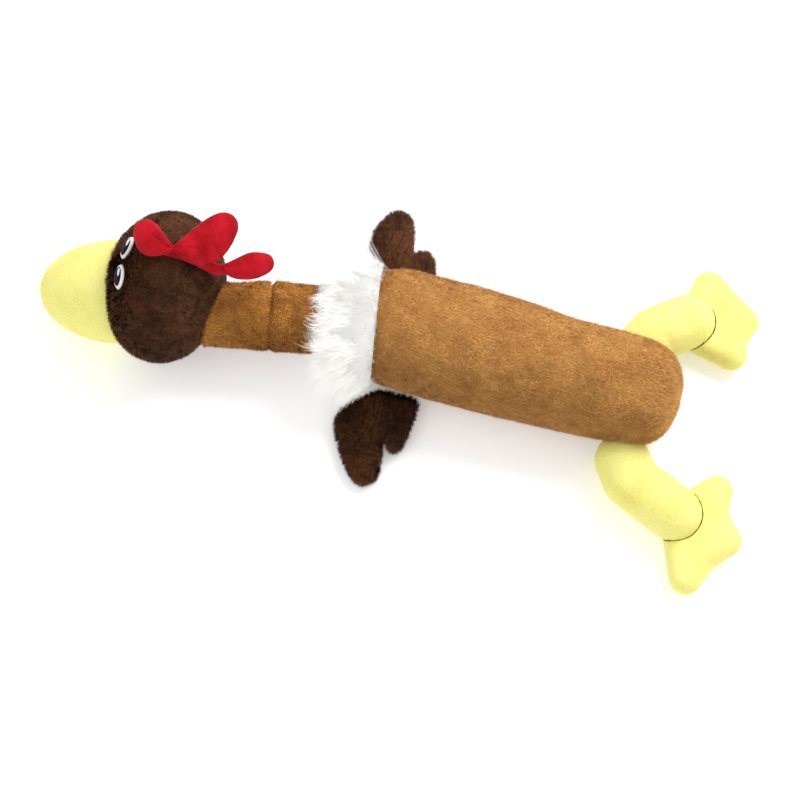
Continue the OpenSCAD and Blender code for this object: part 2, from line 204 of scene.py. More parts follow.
def smooth_drift(points, size, seed):
    """Smooth noise from 0 to 1 along each of the three directions."""
    return np.stack([smooth_noise(points, size, seed + i) for i in range(3)], axis=1)


# ---------- materials ----------


def shader(name):
    material = bpy.data.materials.new(name)
    material.use_nodes = True
    return material, material.node_tree, material.node_tree.nodes["Principled BSDF"]


def put(node, **values):
    for key, value in values.items():
        node.inputs[key.replace("_", " ")].default_value = value


NOISE, WAVE = "ShaderNodeTexNoise", "ShaderNodeTexWave"


def texture(tree, kind, scale, stretch=(1, 1, 1), **values):
    """The value of a procedural texture in the object's own space, scaled per metre."""
    where = tree.nodes.new("ShaderNodeTexCoord")
    mapping = tree.nodes.new("ShaderNodeMapping")
    mapping.inputs["Scale"].default_value = stretch
    tree.links.new(where.outputs["Object"], mapping.inputs["Vector"])
    node = tree.nodes.new(kind)
    tree.links.new(mapping.outputs["Vector"], node.inputs["Vector"])
    put(node, Scale=scale, **values)
    return node.outputs["Fac"]


def scaled(tree, source, factor):
    """Another node's value, multiplied."""
    node = tree.nodes.new("ShaderNodeMath")
    node.operation = "MULTIPLY"
    node.inputs[1].default_value = factor
    tree.links.new(source, node.inputs[0])
    return node.outputs[0]


def coloured(tree, bsdf, source, stops):
    """Gives a shader its colours, as stops along a 0 to 1 value."""
    node = tree.nodes.new("ShaderNodeValToRGB")
    elements = node.color_ramp.elements
    while len(elements) < len(stops):
        elements.new(0.5)
    for element, (at, colour) in zip(elements, stops):
        element.position = at
        element.color = (*colour, 1)
    tree.links.new(source, node.inputs["Fac"])
    tree.links.new(node.outputs["Color"], bsdf.inputs["Base Color"])


def bumped(tree, bsdf, layers):
    """Stacks bumps, each a (height, strength, distance)."""
    normal = None
    for height, strength, distance in layers:
        node = tree.nodes.new("ShaderNodeBump")
        put(node, Strength=strength, Distance=distance)
        tree.links.new(height, node.inputs["Height"])
        if normal is not None:
            tree.links.new(normal, node.inputs["Normal"])
        normal = node.outputs["Normal"]
    tree.links.new(normal, bsdf.inputs["Normal"])


FINE_SHARE, BROAD_SHARE = 0.55, 0.45      # of the two noises that mottle a cloth


def cloth(name, tones, grain, sheen=0.3, patches=26, bump=0.4):
    """Knitted or napped cloth: broad patches, fine grain and a soft sheen."""
    material, tree, bsdf = shader(name)
    broad = texture(tree, NOISE, patches, Detail=4.0, Roughness=0.6)
    fine = texture(tree, NOISE, grain, Detail=3.0, Roughness=0.7)
    mix = tree.nodes.new("ShaderNodeMath")
    mix.operation = "MULTIPLY_ADD"
    mix.inputs[1].default_value = FINE_SHARE
    tree.links.new(fine, mix.inputs[0])
    tree.links.new(scaled(tree, broad, BROAD_SHARE), mix.inputs[2])
    spread = np.linspace(0.34, 0.66, len(tones))
    coloured(tree, bsdf, mix.outputs[0], list(zip(spread, tones)))
    bumped(tree, bsdf, [(fine, bump, 0.0006), (broad, 0.25, 0.002)])
    put(bsdf, Roughness=0.9, Sheen_Weight=sheen, Sheen_Roughness=0.5, Specular_IOR_Level=0.15,
        Sheen_Tint=(*tones[-1], 1))
    return material


def strand_tone(name, colour, sheen, glow):
    """One tone of a pile. Its sheen varies from tuft to tuft, and glow stands for the light that
    fine pale hairs pass on to each other."""
    material, tree, bsdf = shader(name)
    put(bsdf, Base_Color=(*colour, 1), Roughness=0.75, Sheen_Roughness=0.4,
        Emission_Color=(*colour, 1), Emission_Strength=glow, Specular_IOR_Level=0.2,
        Sheen_Tint=(*colour, 1))
    tuft = texture(tree, NOISE, 180, Detail=2.0)
    tree.links.new(scaled(tree, tuft, 2 * sheen), bsdf.inputs["Sheen Weight"])
    return material


TONES = 6                 # materials in each pile


def tone_scale(name, dark, light, sheen, glow=0.0):
    """Materials from dark to light, for the strands of one pile."""
    steps = np.linspace(0, 1, TONES)[:, None]
    colours = np.array(dark) * (1 - steps) + np.array(light) * steps
    return [strand_tone(f"{name}_{i}", tuple(c), sheen, glow) for i, c in enumerate(colours)]


TAN = ((0.33, 0.120, 0.026), (0.80, 0.41, 0.120))
NECK_TAN = ((0.20, 0.064, 0.011), (0.78, 0.34, 0.070))
BROWN = ((0.020, 0.0075, 0.003), (0.180, 0.066, 0.024))
WING_BROWN = ((0.016, 0.006, 0.0025), (0.175, 0.060, 0.020))
WHITE = ((0.86, 0.85, 0.82), (1.0, 0.99, 0.96))


def plush(name, tones, sheen, light, dark=1):
    """The cloth back of a plush and the tones of its pile. The back is the pile's two end colours
    times light and dark, so mostly darker than the pile's tips: painted shade deep in the pile."""
    back = [tuple(dark * c for c in tones[0]), tuple(light * c for c in tones[1])]
    return cloth(f"{name}_plush_back", back, 900), tone_scale(f"{name}_pile", *tones, sheen)


# Each back is darker than its pile's light tips: painted shade deep in the pile.
tan_back, tan_pile = plush("tan", TAN, sheen=0.5, light=0.7)
neck_back, neck_pile = plush("neck", NECK_TAN, sheen=0.4, light=0.6)
brown_back, brown_pile = plush("brown", BROWN, sheen=0.35, light=0.7, dark=2.5)
wing_back, wing_pile = plush("wing", WING_BROWN, sheen=0.35, light=0.5)
white_pile = tone_scale("white_pile", *WHITE, sheen=0.2, glow=0.13)
velboa = cloth("yellow_velboa", [(0.76, 0.65, 0.15), (0.84, 0.79, 0.24), (0.88, 0.86, 0.32)],
               700, sheen=0.35, patches=32, bump=0.25)
collar_cloth = cloth("collar_cloth", [(0.80, 0.80, 0.79), (0.93, 0.93, 0.92)], 1200)
fibre = cloth("fibre_filling", [(0.78, 0.78, 0.76), (0.93, 0.93, 0.91)], 500, sheen=0.4)


def comb_material():
    """Brushed crimson knit: fine ribs one way over soft patches."""
    material, tree, bsdf = shader("comb_knit")
    broad = texture(tree, NOISE, 60, Detail=5.0, Roughness=0.6)
    nap = texture(tree, NOISE, 1500, Detail=2.0)
    ribs = texture(tree, WAVE, 420, Distortion=1.5)
    coloured(tree, bsdf, broad, [(0.35, (0.28, 0.0015, 0.006)), (0.5, (0.39, 0.003, 0.010)),
                                 (0.65, (0.50, 0.006, 0.018))])
    bumped(tree, bsdf, [(broad, 0.25, 0.002), (ribs, 0.2, 0.0002), (nap, 0.35, 0.0003)])
    put(bsdf, Roughness=0.8, Sheen_Weight=0.12, Sheen_Roughness=0.45, Specular_IOR_Level=0.12,
        Sheen_Tint=(1, 0.25, 0.25, 1))
    return material


def embroidery(name, tones, gloss=0.4, sheen=0.15):
    """Satin stitch: close parallel threads."""
    material, tree, bsdf = shader(name)
    threads = texture(tree, WAVE, 1100, Distortion=0.6)
    wear = texture(tree, NOISE, 400, Detail=3.0)
    coloured(tree, bsdf, wear, [(0.35, tones[0]), (0.65, tones[1])])
    bumped(tree, bsdf, [(threads, 0.5, 0.0002)])
    put(bsdf, Roughness=0.5, Sheen_Weight=sheen, Specular_IOR_Level=gloss)
    return material


def moulded(name, tones, roughness, metallic=0.0):
    """Moulded plastic or drawn metal with faint mottling and tool marks."""
    material, tree, bsdf = shader(name)
    mottle = texture(tree, NOISE, 300, Detail=4.0)
    marks = texture(tree, NOISE, 800, stretch=(1, 1, 12), Detail=2.0)
    coloured(tree, bsdf, mottle, [(0.3, tones[0]), (0.7, tones[1])])
    bumped(tree, bsdf, [(marks, 0.15, 0.0002)])
    put(bsdf, Roughness=roughness, Metallic=metallic)
    return material


comb_knit = comb_material()
eye_white = embroidery("eye_white_thread", [(0.80, 0.80, 0.79), (0.93, 0.93, 0.92)])
eye_black = embroidery("eye_black_thread", [(0.002, 0.002, 0.0025), (0.006, 0.006, 0.007)],
                       gloss=0.12, sheen=0.0)
# The shine on each eye is a painted highlight, made with the satin-stitch material.
painted_eye_glint = embroidery("eye_painted_glint", [(0.74, 0.76, 0.78), (0.92, 0.93, 0.94)])
plastic = moulded("squeaker_plastic", [(0.80, 0.80, 0.77), (0.88, 0.88, 0.85)], 0.45)
brass = moulded("reed_brass", [(0.72, 0.50, 0.20), (0.84, 0.63, 0.30)], 0.3, metallic=1.0)

# ---------- meshes ----------


def linked(name, data):
    """A new object in the scene."""
    made = bpy.data.objects.new(name, data)
    bpy.context.scene.collection.objects.link(made)
    return made


def object_from(name, points, faces, materials, body=None, slot=None):
    """A smooth-shaded piece from points in millimetres."""
    mesh = bpy.data.meshes.new(name)
    mesh.from_pydata((np.asarray(points) * MM).tolist(), [], faces)
    mesh.validate()
    mesh.shade_smooth()
    for material in materials:
        mesh.materials.append(material)
    piece = linked(name, mesh)
    if body:
        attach(piece, body)
    return piece


def across(axis):
    """Two directions at right angles to an axis, the first as near to up as it can be."""
    first = unit(UP - np.dot(UP, axis) * axis)
    return first, np.cross(axis, first)


def ring_skin(points, around):
    """Points and outward faces of a closed skin, from one end, rings of points and the other
    end."""
    last = len(points) - 1
    rows = (last - 1) // around
    faces = []
    for j in range(around):
        k = (j + 1) % around
        faces.append((0, 1 + k, 1 + j))
        for i in range(rows - 1):
            a, b = 1 + i * around, 1 + (i + 1) * around
            faces.append((a + j, a + k, b + k, b + j))
        faces.append((last, last - around + j, last - around + k))
    points = np.array(points)
    return points, outward_faces(points, faces)


def lathe(origin, axis, profile, around):
    """Points and faces of a closed surface turned about an axis. profile lists (radius,
    distance along the axis) and starts and ends on the axis."""
    first, second = across(axis)
    angle = np.arange(around) * 2 * math.pi / around
    ring = np.outer(np.cos(angle), first) + np.outer(np.sin(angle), second)
    points = [origin + profile[0][1] * axis]
    for radius, along in profile[1:-1]:
        points.extend(origin + along * axis + radius * ring)
    points.append(origin + profile[-1][1] * axis)
    return ring_skin(points, around)


def outward_faces(points, faces):
    """The faces, turned so that their normals point out."""
    mesh = bpy.data.meshes.new("turning")
    mesh.from_pydata(points.tolist(), [], faces)
    work = bmesh.new()
    work.from_mesh(mesh)
    bmesh.ops.recalc_face_normals(work, faces=work.faces)
    turned_faces = [[v.index for v in face.verts] for face in work.faces]
    work.free()
    bpy.data.meshes.remove(mesh)
    return turned_faces


def normals_of(points, faces):
    mesh = bpy.data.meshes.new("normals")
    mesh.from_pydata(points.tolist(), [], faces)
    normals = np.empty(len(points) * 3, np.float32)
    mesh.vertex_normals.foreach_get("vector", normals)
    bpy.data.meshes.remove(mesh)
    return normals.reshape(-1, 3).astype(float)


BALL_STEPS = 9            # from pole to pole


def ball(centre, radius):
    """Points all over a ball."""
    rows = []
    n = 2 * BALL_STEPS
    turn = np.arange(n) * 2 * math.pi / n
    for i in range(1, BALL_STEPS):
        a = math.pi * i / BALL_STEPS
        rows.append(np.stack([np.cos(turn) * math.sin(a), np.sin(turn) * math.sin(a),
                              np.full(n, math.cos(a))], axis=1))
    rows.append(np.array([[0, 0, 1.0], [0, 0, -1.0]]))
    return np.asarray(centre) + radius * np.concatenate(rows)


def applied(source):
    """The points in millimetres and the faces that an object's modifiers leave. It is removed."""
    shaped = source.evaluated_get(bpy.context.evaluated_depsgraph_get())
    result = shaped.to_mesh()
    points = np.empty(len(result.vertices) * 3)
    result.vertices.foreach_get("co", points)
    faces = [tuple(f.vertices) for f in result.polygons]
    shaped.to_mesh_clear()
    mesh = source.data
    bpy.data.objects.remove(source)
    bpy.data.meshes.remove(mesh)
    return points.reshape(-1, 3) / MM, faces


def melted(lobes, voxel, smoothing):
    """One smooth closed skin round lobes, each the hull of balls given as (centre, radius)."""
    work = bmesh.new()
    for lobe in lobes:
        part = bmesh.new()
        for centre, radius in lobe:
            for p in ball(centre, radius):
                part.verts.new(p * MM)
        hull = bmesh.ops.convex_hull(part, input=part.verts)
        spare = {v for v in hull["geom_unused"] + hull["geom_interior"]
                 if isinstance(v, bmesh.types.BMVert)}
        bmesh.ops.delete(part, geom=list(spare), context="VERTS")
        mesh = bpy.data.meshes.new("lobe")
        part.to_mesh(mesh)
        part.free()
        work.from_mesh(mesh)
        bpy.data.meshes.remove(mesh)
    mesh = bpy.data.meshes.new("melting")
    work.to_mesh(mesh)
    work.free()
    source = linked("melting", mesh)
    remesh = source.modifiers.new("skin", "REMESH")
    remesh.mode = "VOXEL"
    remesh.voxel_size = voxel * MM
    smooth = source.modifiers.new("soft", "SMOOTH")
    smooth.factor = 0.5
    smooth.iterations = smoothing
    return applied(source)


def hollowed(points, faces, start, end, radius):
    """A closed skin with the room for a round-ended tube cut out of it."""
    axis, length = unit(end - start), float(np.linalg.norm(end - start))
    turns = np.radians(np.arange(6, 91, 6))
    profile = [(0, -radius), *((radius * math.sin(a), -radius * math.cos(a)) for a in turns),
               *((radius * math.cos(a), length + radius * math.sin(a)) for a in turns - turns[0]),
               (0, length + radius)]
    room = object_from("room", *lathe(start, axis, profile, 90), [])
    body = object_from("hollowing", points, outward_faces(points, faces), [])
    cut = body.modifiers.new("room", "BOOLEAN")
    cut.object = room
    cut.operation = "DIFFERENCE"
    cut.solver = "EXACT"
    left = applied(body)
    applied(room)
    return left


def nearest_on(points, start, end):
    """The nearest place to each point on a straight stretch."""
    d = end - start
    t = np.clip((points - start) @ d / (d @ d), 0, 1)
    return start + t[:, None] * d


def pushed_out(points, start, end, radius):
    """Points inside a round-ended tube, moved out to its surface."""
    near = nearest_on(points, start, end)
    away = points - near
    gap = np.linalg.norm(away, axis=1)
    inside = gap < radius
    points = points.copy()
    points[inside] = near[inside] + unit(away[inside]) * radius
    return points


SOFT_EDGE = 3.0           # height over which a resting skin turns into its flat underside


def on_floor(points, level):
    """Points that would sink below a level, flattened onto it with a soft edge."""
    points = points.copy()
    top = level + SOFT_EDGE
    low = points[:, 2] < top
    points[low, 2] = level + SOFT_EDGE * np.exp((points[low, 2] - top) / SOFT_EDGE)
    return points


def rounded(outline):
    """A closed outline with its corners cut twice, so that it runs in soft curves."""
    rim = np.array(outline, float)
    for _ in range(2):
        after = np.roll(rim, -1, axis=0)
        rim = np.stack([0.75 * rim + 0.25 * after, 0.25 * rim + 0.75 * after], axis=1)
        rim = rim.reshape(-1, rim.shape[-1])
    return rim


def puffed(outline, spread, thinner):
    """Balls of a stuffed lobe from (x, y, z, radius) round its outline: a thin edge and a full
    middle."""
    middle = sum(np.array(at[:3], float) for at in outline) / len(outline)
    balls = []
    for *place, radius in rounded(outline):
        out = np.array(place) - middle
        balls += [(middle + spread * out, radius - thinner), (middle + 0.55 * out, radius + 0.9)]
    return balls


def grooved(points, centre, axis, place, depth, wide):
    """Points drawn in towards an axis along a seam at a place on it."""
    along = (points - centre) @ axis
    spoke = points - centre - np.outer(along, axis)
    dip = depth * np.exp(-((along - place) / wide) ** 2)
    return points - unit(spoke) * dip[:, None]


def dented(points, faces, dents):
    """Points pressed in at dents, each a (centre, half sizes along X, Y and Z, depth)."""
    normals = normals_of(points, faces)
    for centre, spread, depth in dents:
        nearness = np.exp(-(((points - centre) / spread) ** 2).sum(1))
        points = points - normals * (depth * nearness)[:, None]
    return points


def rumpled(points, faces, depth, size, seed):
    """Points moved inwards by soft noise up to depth, as loose fabric lies."""
    inward = smooth_noise(points, size, seed) * 0.7 + smooth_noise(points, size / 2.3, seed + 1) * 0.3
    return points - normals_of(points, faces) * (depth * inward)[:, None]


def skin_of(piece):
    """A piece's points in millimetres, and their normals."""
    mesh = piece.data
    count = len(mesh.vertices)
    points, normals = np.empty(count * 3), np.empty(count * 3, np.float32)
    mesh.vertices.foreach_get("co", points)
    mesh.vertex_normals.foreach_get("vector", normals)
    return points.reshape(-1, 3) / MM, normals.reshape(-1, 3)


def filling(cover, node, inset, body):
    """The fibre filling inside a cover: its skin drawn in."""
    points, normals = skin_of(cover)
    points = points - normals * inset
    points += (smooth_noise(points, 7, 5)[:, None] - 0.5) * normals * 0.8
    faces = [tuple(f.vertices) for f in cover.data.polygons]
    piece = object_from(node.replace("stuffing", "filling"), points, faces, [fibre], body,
                        "fibre_filling")
    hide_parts(node)
    return piece


def stuffed(name, points, faces, material, body, slot, inset):
    """A cover and the filling inside it, in place of the frame's own."""
    skin = object_from(f"{name}_skin", points, faces, [material], body, slot)
    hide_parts(f"{name}_cover")
    filling(skin, f"{name}_stuffing", inset, body)
    return skin


# ---------- pile ----------


def skin_samples(piece, density, random):
    """Random places on a piece's skin, with their normals, in millimetres."""
    mesh = piece.data
    mesh.calc_loop_triangles()
    points, normals = skin_of(piece)
    corners = np.empty(len(mesh.loop_triangles) * 3, np.int32)
    mesh.loop_triangles.foreach_get("vertices", corners)
    corners = corners.reshape(-1, 3)
    a, b, c = (points[corners[:, i]] for i in range(3))
    area = np.linalg.norm(np.cross(b - a, c - a), axis=1) / 2
    total = int(area.sum() * density)
    chosen = random.choice(len(area), total, p=area / area.sum())
    u, v = random.random(total), random.random(total)
    over = u + v > 1
    u[over], v[over] = 1 - u[over], 1 - v[over]
    w = 1 - u - v
    place = a[chosen] * w[:, None] + b[chosen] * u[:, None] + c[chosen] * v[:, None]
    n = [normals[corners[chosen, i]] for i in range(3)]
    return place, unit(n[0] * w[:, None] + n[1] * u[:, None] + n[2] * v[:, None])


def strands(name, root, bend, tip, facing, width, tones, shade, levels):
    """A piece of tapered strands. root, bend and tip are the three control points of each one's
    curve; facing is the normal that it is shaded with; shade picks its tone from 0 to 1, and
    the segments nearer the root take darker tones: painted shade deep in the pile."""
    count = len(root)
    t = np.linspace(0, 1, levels + 1)[:, None, None]
    path = (1 - t) ** 2 * root + 2 * t * (1 - t) * bend + t ** 2 * tip
    path[..., 2] = np.maximum(path[..., 2], FLOOR_GAP)
    side = unit(np.cross(tip - root, facing))
    half = width[:, None] / 2
    rows = []
    for i in range(levels):
        taper = 1 - 0.55 * (i / levels) ** 1.5
        rows += [path[i] - side * half * taper, path[i] + side * half * taper]
    rows.append(path[levels])
    per = 2 * levels + 1
    points = np.stack(rows, axis=1).reshape(-1, 3)
    start = (np.arange(count) * per)[:, None]
    faces = [[2 * i, 2 * i + 1, 2 * i + 3, 2 * i + 2] for i in range(levels - 1)]
    faces.append([2 * levels - 2, 2 * levels - 1, 2 * levels])
    loops = (start + np.concatenate(faces)).reshape(-1)
    sizes = np.tile([len(face) for face in faces], count)
    mesh = bpy.data.meshes.new(name)
    mesh.vertices.add(len(points))
    mesh.vertices.foreach_set("co", (points * MM).astype(np.float32).reshape(-1))
    mesh.loops.add(len(loops))
    mesh.loops.foreach_set("vertex_index", loops.astype(np.int32))
    mesh.polygons.add(len(sizes))
    mesh.polygons.foreach_set("loop_start", np.concatenate([[0], np.cumsum(sizes)[:-1]]))
    for material in tones:
        mesh.materials.append(material)
    last = len(tones) - 1
    picked = np.clip(shade, 0, 1) * last
    # Segments nearer the root take darker tones than the tip: painted shade deep in the pile.
    rise = np.linspace(-1.6, 0.4, levels)
    tone = np.clip(np.rint(picked[:, None] + rise), 0, last)
    mesh.polygons.foreach_set("material_index", tone.astype(np.int32).reshape(-1))
    mesh.update()
    mesh.shade_smooth()
    shading = np.repeat(facing, per, axis=0)
    mesh.normals_split_custom_set_from_vertices(shading.astype(np.float32))
    return linked(name, mesh)


QUICK_SHARE = 1.0
MOST_TRIANGLES = 190000   # in one piece of pile
ROOT_DEPTH = 0.4          # how far inside the skin the strands start


def flattened(vectors, normal):
    """Vectors without their part along the normals."""
    return vectors - (vectors * normal).sum(1)[:, None] * normal


def pile(name, skin, body, tones, comb, keep, density, length, width, seed, grow=None,
         lean=0.55, clump=3.4, pull=0.5, fuzz=0.2, levels=2, contrast=0.5, tone=0.56):
    """Pile over a skin, as one or more pieces. comb gives the way it is brushed at each place,
    keep says which places carry pile, grow how long it is there, and neighbouring strands draw
    together into tufts. density is in strands per square millimetre."""
    random = np.random.default_rng(seed)
    place, normal = skin_samples(skin, density * QUICK_SHARE, random)
    kept = keep(place, normal)
    place, normal = place[kept], normal[kept]
    count = len(place)
    brushed = comb(place) + 0.5 * (smooth_drift(place, 24, seed + 1) - 0.5)
    along = unit(flattened(brushed, normal))
    shake = fuzz * random.normal(size=(count, 3))
    angle = (lean * (0.8 + 0.4 * smooth_noise(place, 9, seed + 4)))[:, None]
    low, high = (unit(normal * np.cos(angle * part) + along * np.sin(angle * part) + shake * stray)
                 for part, stray in ((0.5, 0.6), (1.5, 1)))
    tall = length * (0.75 + 0.5 * random.random(count)) * (
        0.82 + 0.36 * smooth_noise(place, 6, seed + 5))
    if grow is not None:
        tall *= grow(place)
    root = place - normal * ROOT_DEPTH
    bend = root + low * (tall * 0.55)[:, None]
    tip = bend + high * (tall * 0.5)[:, None]
    warped = place + 5 * smooth_drift(place, 8, seed + 6)
    cell = np.floor(warped / clump)
    centre = (cell + 0.5 + 0.5 * (np.stack(
        [hashed(cell, seed + i) for i in (9, 10, 11)], axis=1) - 0.5)) * clump
    tip += flattened(centre - warped, normal) * pull
    tuft = hashed(cell, seed + 12)
    patch = smooth_noise(place, 14, seed + 13) + 0.8 * smooth_noise(place, 4, seed + 14) - 0.9
    shade = tone + contrast * (0.25 * (tuft - 0.5) + patch + 0.5 * (random.random(count) - 0.5))
    facing = unit(normal + 0.35 * (high - normal) + 0.25 * shake)
    wide = width * (0.8 + 0.4 * random.random(count))
    pieces = []
    parts = max(1, math.ceil(count * (2 * levels - 1) / MOST_TRIANGLES))
    for i in range(parts):
        mine = slice(i * count // parts, (i + 1) * count // parts)
        label = name if parts == 1 else f"{name}_{i + 1}"
        piece = strands(label, root[mine], bend[mine], tip[mine], facing[mine], wide[mine],
                        tones, shade[mine], levels)
        if body:
            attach(piece, body)
        pieces.append(piece)
    return pieces


PRESSED_BELOW = 6         # height below which the toy's weight lies on the pile
PRESSED_SHARE = 0.35      # share of the pile that is made there


def thinned_below(place):
    """Which places keep their pile when only a share is made where the toy rests on it."""
    return (place[:, 2] > PRESSED_BELOW) | (hashed(np.floor(place * 7), 3) < PRESSED_SHARE)


def brushed_to(direction):
    """Pile that lies one way all over."""
    direction = np.asarray(direction, float)
    return lambda place: np.tile(direction, (len(place), 1))


# ---------- body ----------


def barrel(along):
    s = along / BARREL_LEN
    return BODY_R_FRONT + (BODY_R_REAR - BODY_R_FRONT) * s + BODY_BULGE * math.sin(math.pi * s)


def squared(v):
    return v ** (2 / REAR_SQUARE)


def body_profile():
    """(radius, distance from the neck's pivot) from the dome inside the collar to the rear."""
    front, rear, cap = (size - PLUSH_PILE for size in (BODY_R_FRONT, BODY_R_REAR, BODY_CAP_LEN))
    profile = [(0, -front)]
    profile += [(front * math.sin(a), -front * math.cos(a)) for a in np.radians(range(6, 84, 6))]
    profile += [(barrel(along) - PLUSH_PILE, along) for along in np.linspace(0, BARREL_LEN, 58)]
    profile += [(rear * squared(math.cos(a)), BARREL_LEN + cap * squared(math.sin(a)))
                for a in np.radians(range(5, 90, 5))]
    return profile + [(0, BARREL_LEN + cap)]


# Where the loose plush of the body sinks in: a cross fold on the back, the waist on the far side,
# and hollows behind the collar and above the rear
BODY_DENTS = [((-28, -10, 90), (5, 17, 20), 2.6), ((-40, -14, 88), (9, 14, 20), -1.2),
              ((28, 50, 60), (34, 18, 40), 3.2), ((-58, 16, 88), (10, 8, 20), 1.4),
              ((-98, 20, 84), (9, 20, 22), 1.2), ((50, -18, 88), (16, 14, 20), 1.3),
              ((92, -14, 82), (10, 16, 20), 1.6), ((0, 22, 84), (12, 10, 20), 1.0)]


def make_body():
    points, faces = lathe(NECK_PIVOT, BODY_AXIS, body_profile(), 112)
    points = dented(points, faces, BODY_DENTS)
    points = rumpled(points, faces, depth=1.1, size=26, seed=11)
    points = on_floor(points, PLUSH_REST)
    for s in (LEFT, RIGHT):
        points = pushed_out(points, HIP[s], THIGH_ROOM_END[s], LEG_R + SKIN_CLEAR)
    skin = stuffed("body", points, faces, tan_back, "torso", "tan_plush", inset=2.0)

    def keep(place, normal):
        clear = (place - NECK_PIVOT) @ REAR_AXIS < COLLAR_RIM + 0.4
        for s in (LEFT, RIGHT):
            near = nearest_on(place, HIP[s], THIGH_ROOM_END[s])
            clear &= np.linalg.norm(place - near, axis=1) > LEG_R + PILE_CLEAR
        return clear & thinned_below(place)

    pile("body_pile", skin, "torso", tan_pile, brushed_to((1, 0, -0.1)), keep,
         density=2.1, length=3.2, width=0.46, seed=21, lean=0.8, clump=2.8, pull=0.3, fuzz=0.24,
         tone=0.62)


# ---------- neck ----------

NECK_START = 44.0         # places along the neck where its skin and its pile start
NECK_PILE_START = 48
SEAM_BARE = 0.9           # half width of the bare line where the neck's two parts are sewn


def neck_radius(along):
    fold = 2.1 * math.exp(-((along - SEAM_AT) / 1.3) ** 2)
    puff = 0.7 * math.exp(-((abs(along - SEAM_AT) - 8) / 6) ** 2)
    taper = (NECK_R - NECK_HEAD_R) * np.clip((along - SEAM_AT) / (NECK_LEN - SEAM_AT), 0, 1.3)
    return NECK_R - PLUSH_PILE - 0.5 - taper - fold + puff


def neck_along(places):
    """How far along the bent neck each place lies, and its distance from the neck's axis."""
    past = (places - NECK_SEAM) @ unit(REAR_AXIS + FRONT_AXIS) > 0
    start = np.where(past[:, None], NECK_SEAM, NECK_PIVOT)
    axis = np.where(past[:, None], FRONT_AXIS, REAR_AXIS)
    along = ((places - start) * axis).sum(1)
    off = np.linalg.norm(places - start - along[:, None] * axis, axis=1)
    return along + np.where(past, SEAM_AT, 0), off


def neck_tube(around):
    """The closed skin of the neck: rings on its bent axis, closed by a soft end inside the head."""
    end = NECK_LEN + 8
    points = [NECK_PIVOT + NECK_START * REAR_AXIS]
    for along in [*np.linspace(NECK_START, end, 92), end + 6]:
        mix = np.clip((along - SEAM_AT + 10) / 20, 0, 1)
        axis = unit(REAR_AXIS * (1 - mix) + FRONT_AXIS * mix)
        centre = NECK_PIVOT + min(along, SEAM_AT) * REAR_AXIS + max(along - SEAM_AT, 0) * FRONT_AXIS
        radius = neck_radius(along) * (0.6 if along > end else 1)
        first, second = across(axis)
        for a in np.arange(around) * 2 * math.pi / around:
            points.append(centre + radius * (math.cos(a) * first + math.sin(a) * second))
    points.append(NECK_SEAM + (end + 8 - SEAM_AT) * FRONT_AXIS)
    return ring_skin(points, around)


def make_neck():
    points, faces = neck_tube(72)
    points = rumpled(points, faces, depth=0.9, size=26, seed=31)
    skin = object_from("neck_skin", points, faces, [neck_back], None, "tan_plush")
    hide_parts("neck_rear_cover", "neck_front_cover")

    def keep(place, normal):
        along, _ = neck_along(place)
        seam = np.abs(along - SEAM_AT) > SEAM_BARE
        head = ((place - HEAD_C) / [HEAD_HALF_LEN - 5, HEAD_R - 5, HEAD_R - 5]) ** 2
        return (along > NECK_PILE_START) & seam & (head.sum(1) > 1)

    coat = pile("neck_pile", skin, None, neck_pile, brushed_to((1, 0, -0.15)), keep,
                density=2.2, length=3.2, width=0.46, seed=41, lean=0.7, clump=3, pull=0.35,
                fuzz=0.26, contrast=0.6, tone=0.58)
    stuff = filling(skin, "neck_rear_stuffing", inset=1.8, body=None)
    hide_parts("neck_front_stuffing")
    for piece in [skin, stuff] + coat:
        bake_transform(piece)


# ---------- collar ----------

COLLAR_FUR_LOW = 1.4      # height below which the fur is left out
COLLAR_RIM = 18.9

# Section of the collar's backing as (distance from the neck's axis, place along it)
COLLAR_OUTER = [(46.6, COLLAR_RIM), (47, 22), (46, 27), (44, 32.5), (41, 38.5), (37, 44.5), (33, 51),
                (30.2, 56)]
COLLAR_INNER = [(29.4, 56), (29.4, 47), (30.6, 41.3), (35, 36.5), (39, 31.5), (42.3, 26.5),
                (44.6, 21.5), (45.8, COLLAR_RIM)]


def neck_ring(along, angle, radius):
    """A place round the neck. Angle 0 is the top, and it grows towards the left side."""
    first, second = across(REAR_AXIS)
    left = second if second[1] < 0 else -second
    return (NECK_PIVOT + along * REAR_AXIS
            + radius * (math.cos(angle) * first + math.sin(angle) * left))


def make_collar():
    around = 96
    outline = COLLAR_OUTER + COLLAR_INNER
    points = np.array([neck_ring(along, 2 * math.pi * j / around, radius)
                       for radius, along in outline for j in range(around)])
    rows = len(outline)
    faces = []
    for i in range(rows):
        a, b = i * around, ((i + 1) % rows) * around
        for j in range(around):
            k = (j + 1) % around
            faces.append((a + j, a + k, b + k, b + j))
    faces = outward_faces(points, faces)
    points = on_floor(points, COLLAR_REST)
    band = object_from("collar_band", points, faces, [collar_cloth], "neck_rear", "collar_cloth")
    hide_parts("collar_backing")
    return band


def collar_fur(band):
    """Short dense fur at the rim that grows longer and looser towards the head."""

    def keep(place, normal):
        along = (place - NECK_PIVOT) @ REAR_AXIS
        spoke = place - NECK_PIVOT - np.outer(along, REAR_AXIS)
        outer = (normal * unit(spoke)).sum(1) > 0.1
        return outer & (np.linalg.norm(spoke, axis=1) > NECK_R) & (place[:, 2] > COLLAR_FUR_LOW)

    def grow(place):
        along = (place - NECK_PIVOT) @ REAR_AXIS
        return np.interp(along, [19, 30, 44, 54], [0.42, 0.6, 1.1, 1.35])

    coat = pile("collar_fur", band, "neck_rear", white_pile, brushed_to(REAR_AXIS),
                keep, density=8.0, length=9.0, width=0.32, seed=61, grow=grow, lean=1.0,
                clump=4.2, pull=0.22, levels=3, contrast=0.4, tone=0.75)
    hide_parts("collar_fur")


